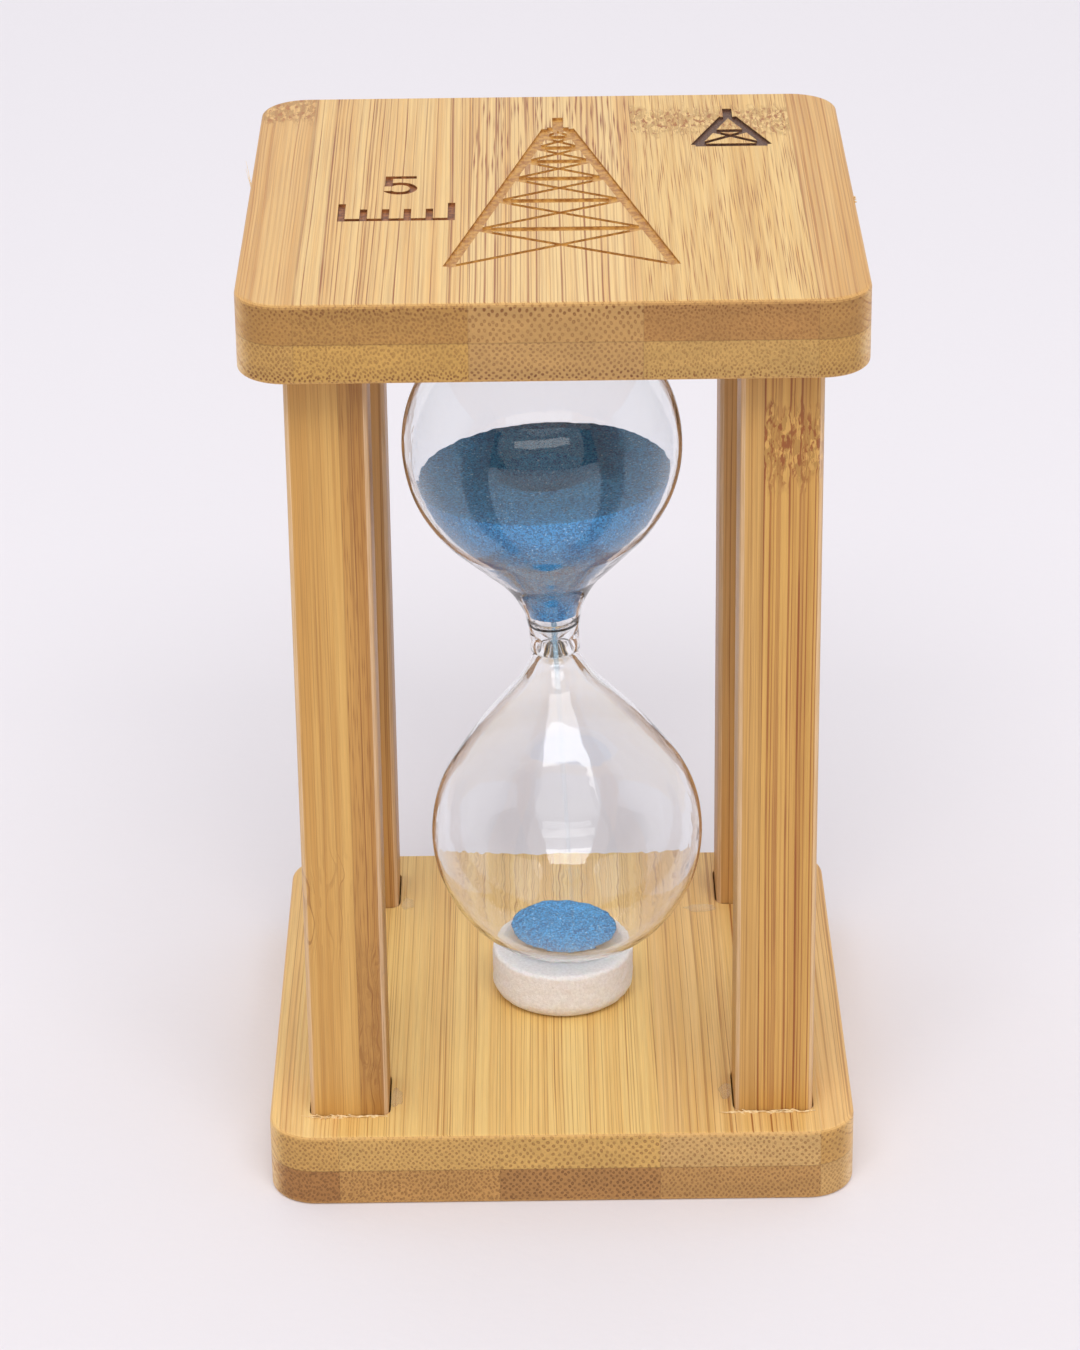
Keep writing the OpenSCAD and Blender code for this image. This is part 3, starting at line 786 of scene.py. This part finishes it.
def thread_material():
    """Grains in free fall, with air between them."""
    s = Shader("falling_sand_grains", Roughness=0.8)
    x, y, z = s.place_mm()
    grain = s.noise(s.vector(x, y, s.times(z, 0.7)), 4.0, 2.0)
    # The grains draw apart as they fall faster, over the first 9 mm
    neck_z, fall = NECK.z / MM, 9
    density = s.line(z, neck_z - fall, neck_z)
    thinned = s.add(s.times(density, density, 0.75), 0.05)
    s.link(Base_Color=s.mix(s.ramp(grain, 0.35, 0.65), srgb(104, 170, 206), srgb(168, 208, 228)),
           Alpha=s.times(thinned, s.ramp(grain, 0.35, 0.6, 0.45, 1.0)))
    return s.material


# ---------- seats ----------


def seat_material():
    s = Shader("white_foam", Specular_IOR_Level=0.3, Subsurface_Weight=0.15, Subsurface_Scale=0.002)
    at = s.vector(*s.place_mm())
    fluff = s.noise(at, 2.4, 4.0, 0.65)
    pit = s.noise(at, 6.0, 2.0, 0.6)
    s.link(Base_Color=s.mix(s.ramp(fluff, 0.3, 0.7), srgb(230, 226, 225), srgb(245, 242, 241)),
           Roughness=s.ramp(pit, 0.3, 0.7, 0.6, 0.9))
    s.bump(s.times(s.add(fluff, pit), 0.12))
    return s.material


def seat_outline(radius, height):
    """A disc with a well rounded base and a softer rim, in metres."""
    base, rim = 2 * MM, 0.6 * MM
    outline = [(0.0, 0.0)] + [(radius * 0.25 * i, 0.0) for i in range(1, 3)]
    outline += arc(radius - base, base, base, -90, 0, 10)
    outline += [(radius, base + (height - rim - base) * i / 14) for i in range(1, 14)]
    outline += arc(radius - rim, height - rim, rim, 0, 90, 15)
    outline += [((radius - rim) * (1 - i / 30), height) for i in range(1, 31)]
    return on_the_pole(outline)


def make_seat(node, up, material):
    """One seat, dished by the bulb that presses into it. up is -1 for the one that hangs upside down."""
    low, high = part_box(node)
    middle = Vector(((low.x + high.x) / 2, (low.y + high.y) / 2, low.z if up > 0 else high.z))
    bulb_at = NECK - AXIS * REACH * MM * up
    dish_r = (BULB_R + 0.1) * MM

    def place(r, turn, h):
        at = middle + Vector((r * math.cos(turn), r * math.sin(turn), h * up))
        # A rough side that fades towards the middle and at the base
        rough = noise.noise(at * 900) * 0.09 * MM + noise.noise(at * 2600) * 0.05 * MM
        outward = Vector((math.cos(turn), math.sin(turn), 0))
        at += outward * (rough - 0.1 * MM) * min(1.0, r / (7 * MM)) * (1 if h > 0.2 * MM else 0)
        away = at - bulb_at
        if away.length < dish_r:
            drop = math.sqrt(max(0.0, dish_r ** 2 - away.x ** 2 - away.y ** 2))
            at.z = bulb_at.z - up * drop
        return at

    outline = seat_outline((high.y - low.y) / 2, high.z - low.z)
    seat = new_object(f"{node}_foam", *lathe(outline, 180, place), material)
    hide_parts(node)
    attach(seat, "frame")


def make_seats():
    material = seat_material()
    for node, up in (("lower_seat", 1), ("upper_seat", -1)):
        make_seat(node, up, material)


# ---------- small traces of the making ----------


def fibres(name, paths, material):
    """Thin loose wood fibres that taper along their paths, as one mesh. Each path is (points, radius)."""
    vertices, faces = [], []
    sides = 5
    for points, radius in paths:
        first = len(vertices)
        for n, point in enumerate(points):
            ahead = points[min(n + 1, len(points) - 1)] - points[max(n - 1, 0)]
            side = ahead.cross(Vector((0.31, 0.23, 0.92))).normalized()
            up = ahead.cross(side).normalized()
            reach = radius * (1 - 0.75 * n / (len(points) - 1))
            for turn in [2 * math.pi * i / sides for i in range(sides)]:
                vertices.append(point + (side * math.cos(turn) + up * math.sin(turn)) * reach)
        for ring in range(len(points) - 1):
            for i in range(sides):
                a, b = first + ring * sides + i, first + ring * sides + (i + 1) % sides
                faces.append((a, b, b + sides, a + sides))
        faces.append(tuple(first + i for i in reversed(range(sides))))
        faces.append(tuple(first + (len(points) - 1) * sides + i for i in range(sides)))
    made = new_object(name, vertices, faces, material)
    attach(made, "frame")


def bent(start, direction, length, droop):
    """A path that starts straight and bends by droop on its way."""
    steps = 8
    return [start + (direction * (i / steps) + droop * (i / steps) ** 2) * length for i in range(steps + 1)]


def make_fibres():
    s = Shader("loose_fibre", Roughness=0.7)
    grain = s.noise(s.vector(*s.place_mm()), 2.0, 2.0)
    s.link(Base_Color=s.mix(s.ramp(grain, 0.3, 0.7), srgb(226, 188, 128), srgb(246, 222, 176)))
    random.seed(11)
    paths = []
    # The front lips of the slots the front posts stand in are torn
    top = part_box("bottom_inner_strip_1")[1].z
    for post in ("front_left", "front_right"):
        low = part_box(f"post_{post}_left_strip")[0]
        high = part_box(f"post_{post}_right_strip")[1]
        for _ in range(44):
            start = Vector((random.uniform(low.x, high.x), low.y - random.uniform(0.1, 0.5) * MM, top))
            direction = Vector((random.choice((-1, 1)) * random.uniform(0.3, 1), random.uniform(-0.3, 0.3),
                                random.uniform(0.02, 0.3)))
            droop = Vector((0, random.uniform(-0.3, 0.3), -random.uniform(0.0, 0.2)))
            paths.append((bent(start, direction, random.uniform(0.8, 2.4) * MM, droop),
                          random.uniform(0.06, 0.17) * MM))
    # Loose hairs on the edges of the top board
    left, right = cad_box[0].x + 0.1 * MM, cad_box[1].x - 0.1 * MM
    high_z = cad_box[1].z - 0.4 * MM
    for y_mm, outward, length in ((5.0, 0.09, 9.0), (5.5, 0.13, 6.5), (8.0, 0.3, 2.5)):
        start = Vector((left, y_mm * MM, high_z - 1.2 * MM))
        hair = bent(start, Vector((-outward, 0.95, 0.12)), length * MM, Vector((-0.04, 0.0, 0.04)))
        paths.append((hair, 0.06 * MM))
    for y_mm in (-3.5, -2.5, -1.8):
        start = Vector((right, y_mm * MM, high_z))
        burr = bent(start, Vector((0.4, -0.8, 0.2)), 1.6 * MM, Vector((-0.3, 0.2, 0)))
        paths.append((burr, 0.16 * MM))
    fibres("torn_fibres", paths, s.material)


def make_smear(name, middle, wide, deep, material):
    """A flat drop of glue with a wavy outline. wide and deep are its half sizes in mm."""

    def place(r, turn, h):
        around = Vector((math.cos(turn) * 1.5, math.sin(turn) * 1.5, middle.x * 300))
        wavy_r = r * (1 + 0.35 * noise.noise(around))
        return middle + Vector((wavy_r * wide * math.cos(turn), wavy_r * deep * math.sin(turn), h)) * MM

    outline = [(0.0, 0.01), (1.0, 0.01), (0.9, 0.05), (0.7, 0.09), (0.35, 0.1), (0.0, 0.1)]
    smear = new_object(name, *lathe(outline, 36, place), material)
    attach(smear, "frame")


def make_glue():
    """Thin clear smears of glue beside the posts' feet."""
    s = Shader("dried_glue", Roughness=0.2, Base_Color=srgb(250, 234, 198), Alpha=0.14)
    s.bump(s.times(s.noise(s.vector(*s.place_mm()), 1.5, 2.0), 0.06))
    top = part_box("bottom_inner_strip_1")[1].z
    front_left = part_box("post_front_left_right_strip")
    front_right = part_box("post_front_right_left_strip")
    back_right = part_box("post_back_right_left_strip")
    back_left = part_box("post_back_left_right_strip")
    # Place in the frame, and the smear's half sizes in mm
    spots = [
        (front_left[1].x + 0.9 * MM, front_left[0].y + 4.2 * MM, 0.8, 2.2),
        (front_right[0].x - 1.0 * MM, front_right[0].y + 5.0 * MM, 0.9, 1.8),
        (back_right[0].x - 2.2 * MM, back_right[0].y - 1.2 * MM, 2.4, 1.0),
        (back_left[1].x + 1.2 * MM, back_left[0].y + 1.0 * MM, 0.9, 1.6),
    ]
    for n, (x, y, wide, deep) in enumerate(spots, start=1):
        make_smear(f"glue_smear_{n}", Vector((x, y, top)), wide, deep, s.material)


# ---------- floor and light ----------


def make_stage():
    s = Shader("pale_floor", Roughness=0.7, Specular_IOR_Level=0.2)
    x, y, z = s.place_mm()
    # Painted shade: a shade darker towards the front, as a table away from the lit background
    s.link(Base_Color=s.shade(srgb(234, 231, 236)[:3], s.ramp(y, -100, 60, 0.945, 1.0)))
    s.bump(s.times(s.noise(s.vector(x, y, 0.0), 0.6, 3.0), 0.05))
    half = 4.0
    corners = [(-half, -half, 0), (half, -half, 0), (half, half, 0), (-half, half, 0)]
    new_object("floor", corners, [(0, 1, 2, 3)], s.material)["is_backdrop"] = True


def make_softbox(name, at, size, power):
    """A panel of light that faces the neck of the glass."""
    neck = Vector((0, 0, 0.06))
    data = bpy.data.lights.new(name, "AREA")
    data.shape = "RECTANGLE"
    data.size, data.size_y = size
    data.energy = power
    made = bpy.data.objects.new(name, data)
    made.location = at
    made.rotation_euler = (neck - Vector(at)).to_track_quat("-Z", "Y").to_euler()
    scene.collection.objects.link(made)


def make_world():
    """A pale room, dim on the side the softbox stands, which keeps the front of the glass clear."""
    world = bpy.data.worlds.new("studio")
    world.use_nodes = True
    tree = world.node_tree
    kinds = ("TexCoord", "SeparateXYZ", "MapRange", "MapRange", "Math", "MapRange")
    at, split, front, low, dim, light = [tree.nodes.new(f"ShaderNode{kind}") for kind in kinds]
    tree.links.new(at.outputs["Generated"], split.inputs[0])
    for node, source, start, end in ((front, "Y", -0.15, -0.5), (low, "Z", 0.8, 0.5)):
        node.interpolation_type = "SMOOTHSTEP"
        tree.links.new(split.outputs[source], node.inputs["Value"])
        node.inputs["From Min"].default_value = start
        node.inputs["From Max"].default_value = end
    dim.operation = "MULTIPLY"
    tree.links.new(front.outputs[0], dim.inputs[0])
    tree.links.new(low.outputs[0], dim.inputs[1])
    tree.links.new(dim.outputs[0], light.inputs["Value"])
    light.inputs["To Min"].default_value = 0.94
    light.inputs["To Max"].default_value = 0.06
    background = tree.nodes["Background"]
    background.inputs["Color"].default_value = srgb(238, 236, 238)
    tree.links.new(light.outputs[0], background.inputs["Strength"])
    scene.world = world


def make_glow(name, power, spread, towards):
    """Light from a wide panel, too even to be seen as a window in the glass."""
    data = bpy.data.lights.new(name, "SUN")
    data.energy = power
    data.angle = math.radians(spread)
    glow = bpy.data.objects.new(name, data)
    glow.rotation_euler = Vector(towards).to_track_quat("-Z", "Y").to_euler()
    glow.visible_glossy = False
    scene.collection.objects.link(glow)


def make_light():
    make_world()
    make_glow("ceiling_glow", 0.52, 60, (-0.02, 0.6, -1.0))
    make_glow("front_glow", 0.95, 70, (0.0, 1.0, -0.35))
    make_softbox("front_softbox", (0.02, -0.6, 0.92), (1.0, 0.3), 3.6)
    make_softbox("low_panel", (0.0, -0.89, 0.46), (0.8, 0.12), 0.4)


dress_boards()
dress_posts()
make_glass()
make_sand()
make_seats()
make_fibres()
make_glue()
make_stage()
make_light()

({name: [list(corner) for corner in box]
           for name, box in (("cad", cad_box), ("visual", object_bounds()))})
